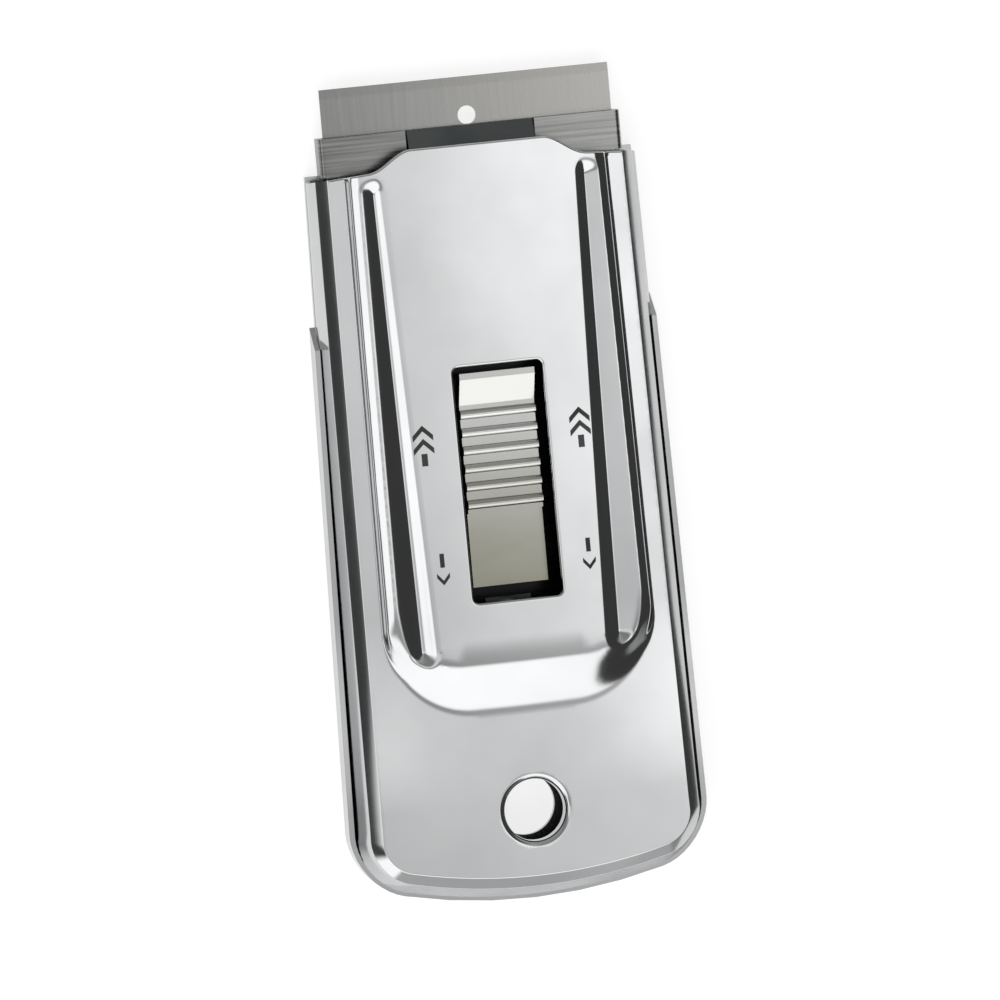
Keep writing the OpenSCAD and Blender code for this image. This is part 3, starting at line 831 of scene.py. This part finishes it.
def cover_skin():
    """The cover's outer skin: the pressed top, the shoulders and walls, and the hang hole's roll."""
    shoulder = [(side_outline(-inset, -inset), drop) for inset, drop in shoulder_rings()]
    rim = shoulder[0][0]
    front_x = np.linspace(rim[-1, 0], rim[0, 0], FRONT_POINTS)[1:-1]
    outline = np.vstack([rim, np.column_stack([front_x, nose_y(front_x)])])
    loops = [outline, window_outline(), hang_ring(HANG_RIM_R)]
    flat, triangles, (outline_at, window_at, hang_at) = triangulated(loops, top_points())
    rim_at, front_at = outline_at[:len(rim)], outline_at[len(rim):]

    heights = top_height(*flat.T)
    heights[rim_at] = 0
    x, y = flat[triangles].mean(1).T
    keep = inside(np.column_stack([x, y]), outline)
    keep &= window_distance(x, y) > 0
    keep &= np.hypot(x, y - HANG_Y) > HANG_RIM_R * math.cos(math.pi / HANG_POINTS)

    skin = Skin()
    skin.add(leaned(np.column_stack([flat, heights])))
    skin.faces += triangles[keep].tolist()
    for edge, closed in ((window_at, True), (front_at, False)):
        flange = leaned(np.column_stack([flat[edge], heights[edge] - FLANGE_L]))
        skin.drape(edge, [flange], closed)
    skin.drape(rim_at, [lowered(plan, drop) for plan, drop in shoulder[1:]] + wall_rings())
    skin.drape(hang_at, hang_rings(), True)
    return skin


def linked_object(name, mesh, *materials):
    """A new object of a mesh with its materials, in the scene."""
    for material in materials:
        mesh.materials.append(material)
    obj = bpy.data.objects.new(name, mesh)
    bpy.context.scene.collection.objects.link(obj)
    return obj


def mark_sharp(mesh, angle):
    """Keeps edges crisp where two faces meet at more than an angle."""
    bm = bmesh.new()
    bm.from_mesh(mesh)
    for edge in bm.edges:
        edge.smooth = not (len(edge.link_faces) == 2 and edge.calc_face_angle() > angle)
    bm.to_mesh(mesh)
    bm.free()


def sheet_object(name, skin, thickness, outer_material, inner_material):
    """Closes an outer skin into a sheet: the same skin set in by its thickness, and its edges."""
    mesh = bpy.data.meshes.new(name)
    mesh.from_pydata(skin.verts, [], skin.faces)
    bm = bmesh.new()
    bm.from_mesh(mesh)
    bmesh.ops.remove_doubles(bm, verts=bm.verts, dist=MERGE)
    bmesh.ops.recalc_face_normals(bm, faces=bm.faces)
    if sum(face.normal.z * face.calc_area() for face in bm.faces) < 0:
        bmesh.ops.reverse_faces(bm, faces=bm.faces)
    for face in bm.faces:
        face.smooth = True
    bm.to_mesh(mesh)
    bm.free()
    obj = linked_object(name, mesh, outer_material, inner_material)
    solid = obj.modifiers.new("sheet", "SOLIDIFY")
    solid.thickness = thickness
    solid.offset = -1
    solid.use_even_offset = False
    solid.material_offset = 1
    bpy.context.view_layer.objects.active = obj
    obj.select_set(True)
    bpy.ops.object.modifier_apply(modifier=solid.name)
    mark_sharp(obj.data, SHARP_ANGLE)
    return obj


cover = sheet_object("cover_sheet", cover_skin(), COVER_T, COVER_CHROME, INSIDE_STEEL)
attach(cover, "body")
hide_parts("front_cover")


# Stamped marks


def arrowhead(cx, cy, half_w, rise, stroke):
    """A chevron's outline, its point towards +Y for a positive rise."""
    foot, head = cy - rise / 2, cy + rise / 2
    return [(cx - half_w, foot), (cx, head), (cx + half_w, foot),
            (cx + half_w, foot - stroke), (cx, head - stroke), (cx - half_w, foot - stroke)]


def stem(cx, cy, half_w, half_l):
    """A short bar's outline."""
    return [(cx - half_w, cy - half_l), (cx - half_w, cy + half_l),
            (cx + half_w, cy + half_l), (cx + half_w, cy - half_l)]


def mark_object(name, outlines, material):
    """Thin inlays of dark patina in the stamped marks, laid on the panel."""
    bm = bmesh.new()
    for outline in outlines:
        plan = np.array(outline) * MM
        low = [bm.verts.new(v) for v in lowered(plan, MARK_T - PANEL_RISE)]
        high = [bm.verts.new(v) for v in lowered(plan, -MARK_T / 2 - PANEL_RISE)]
        bm.faces.new(high)
        bm.faces.new(low[::-1])
        for i in range(len(plan)):
            j = (i + 1) % len(plan)
            bm.faces.new((low[i], low[j], high[j], high[i]))
    bmesh.ops.recalc_face_normals(bm, faces=bm.faces)
    mesh = bpy.data.meshes.new(name)
    bm.to_mesh(mesh)
    bm.free()
    return linked_object(name, mesh, material)


mark_outlines = []
for mark in MARKS:
    for mark_x, mark_y in mark["places"]:
        for head_at in mark["heads_at"]:
            mark_outlines.append(arrowhead(mark_x, mark_y + head_at, *mark["head"]))
        mark_outlines.append(stem(mark_x, mark_y + mark["stem_at"], *mark["stem"]))
marks = mark_object("travel_marks", mark_outlines, MARK_PATINA)
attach(marks, "body")


# Studio


def sky():
    """A broad soft box overhead and lamps to the left and behind, in a dim room."""
    world = bpy.data.worlds.new("sky")
    bpy.context.scene.world = world
    world.use_nodes = True
    tree = world.node_tree
    direction = {axis: position(tree, axis, "Generated") for axis in "XYZ"}

    def edge(axis, start, end, low, high):
        return step(tree, direction[axis], start, end, low, high)

    def product(*values):
        return combine(tree, "MULTIPLY", *values)

    def brightest(*values):
        return combine(tree, "MAXIMUM", *values)

    box = product(edge(*BOX_ACROSS), edge(*BOX_ALONG))
    rear_lamp = product(edge(*REAR_LAMP), edge(*REAR_LAMP_END))
    above = brightest(box, edge(*LEFT_LAMP), rear_lamp)
    low_edge = brightest(edge(*BOX_LOW_EDGE), edge(*BOX_OPEN_BEHIND))
    above = product(above, edge(*BOX_RIGHT_EDGE), edge(*BOX_FRONT_EDGE), low_edge)
    room = brightest(edge(*ROOM_BEFORE), edge(*ROOM_BEHIND))
    low_glow = product(edge(*LOW_GLOW), edge(*LOW_GLOW_RIGHT_EDGE))
    tree.links.new(brightest(above, room, low_glow), tree.nodes["Background"].inputs["Color"])


def floor():
    """A pale floor that reads as white round the object and keeps its soft shadow."""
    bpy.ops.mesh.primitive_plane_add(size=FLOOR_SIZE, location=(0, 0, -FLOOR_DROP))
    plane = bpy.context.object
    plane.name = "floor"
    material, tree, shader = new_material("floor_white")
    shader.inputs["Base Color"].default_value = (FLOOR_GREY, FLOOR_GREY, FLOOR_GREY, 1)
    shader.inputs["Roughness"].default_value = FLOOR_ROUGH
    shader.inputs["Emission Color"].default_value = (1, 1, 1, 1)
    path = tree.nodes.new("ShaderNodeLightPath")
    kinds = ("Is Camera Ray", "Is Glossy Ray", "Is Transmission Ray")
    seen = combine(tree, "MAXIMUM", *(path.outputs[kind] for kind in kinds))
    tree.links.new(combine(tree, "MULTIPLY", seen, FLOOR_GLOW), shader.inputs["Emission Strength"])
    plane.data.materials.append(material)


def camera():
    """The photograph's view, placed so that the cutting edge falls on its pixel."""
    data = bpy.data.cameras.new("photo_camera")
    data.sensor_width = SENSOR_MM
    data.lens = SENSOR_MM * CAMERA_DISTANCE / (PHOTO_PX / PX_PER_MM * MM)
    data.clip_start = NEAR_CLIP
    obj = bpy.data.objects.new("photo_camera", data)
    bpy.context.scene.collection.objects.link(obj)
    away = Vector((-math.tan(FROM_LEFT), math.tan(FROM_FRONT), 1)).normalized()
    up = Vector((math.sin(TURN), math.cos(TURN), 0))
    right = up.cross(away).normalized()
    up = away.cross(right)
    px = MM / PX_PER_MM
    middle = PHOTO_PX / 2
    aim = EDGE_POINT + right * (middle - EDGE_PX[0]) * px + up * (EDGE_PX[1] - middle) * px
    place = aim + away * CAMERA_DISTANCE
    obj.matrix_world = Matrix((
        (right.x, up.x, away.x, place.x),
        (right.y, up.y, away.y, place.y),
        (right.z, up.z, away.z, place.z),
        (0, 0, 0, 1),
    ))
    bpy.context.scene.camera = obj


sky()
floor()
camera()
bpy.context.scene.view_settings.view_transform = "Standard"
